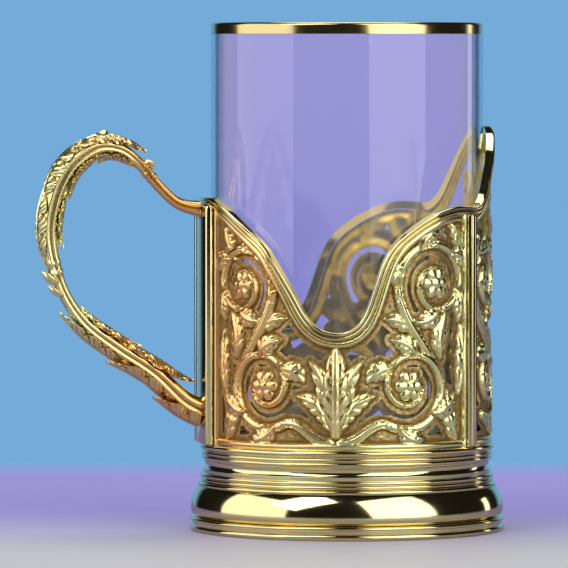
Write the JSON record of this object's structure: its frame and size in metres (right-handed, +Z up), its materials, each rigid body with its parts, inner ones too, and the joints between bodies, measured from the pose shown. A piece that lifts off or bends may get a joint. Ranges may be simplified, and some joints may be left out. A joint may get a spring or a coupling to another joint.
{
  "type": "tea glass holder",
  "caption": "Openwork metal holder with an ear-shaped handle, round moulded foot and wavy rim, carrying a straight thin-walled tea glass that lifts out.",
  "frame": {"origin": "centre of the round foot on the surface that it stands on, on the glass's axis", "axes": "+Z up along the glass's axis, -X towards the handle, +Y away from the side that the picture shows"},
  "size_m": [0.1158, 0.0768, 0.124],
  "materials": {
    "gilt_brass": "polished",
    "cast_brass": "cast relief, brushed gilt with darker hollows",
    "brass_inside": "satin",
    "plated_steel": "plated",
    "clear_glass": "clear, fire polished",
    "gold_line": "fired gilt"
  },
  "bodies": {
    "holder": {"foot": "gilt_brass", "foot_ring": "gilt_brass", "collar": "gilt_brass", "floor_disc": "brass_inside", "clamp_screw": "plated_steel", "clamp_washer": "plated_steel", "clamp_nut": "plated_steel", "panel_front": "cast_brass", "panel_back": "cast_brass", "crest_panel": "cast_brass", "seam_strip_front": "gilt_brass", "seam_strip_back": "gilt_brass", "rim_bead": "gilt_brass", "handle_plate": "gilt_brass", "handle": "cast_brass"},
    "glass": {"tea_glass": "clear_glass", "gilt_line": "gold_line"}
  },
  "joints": [
    {"name": "glass_lift", "type": "slide", "parent": "holder", "child": "glass", "axis": [0, 0, 1], "range_m": [0, 0.09]}
  ]
}
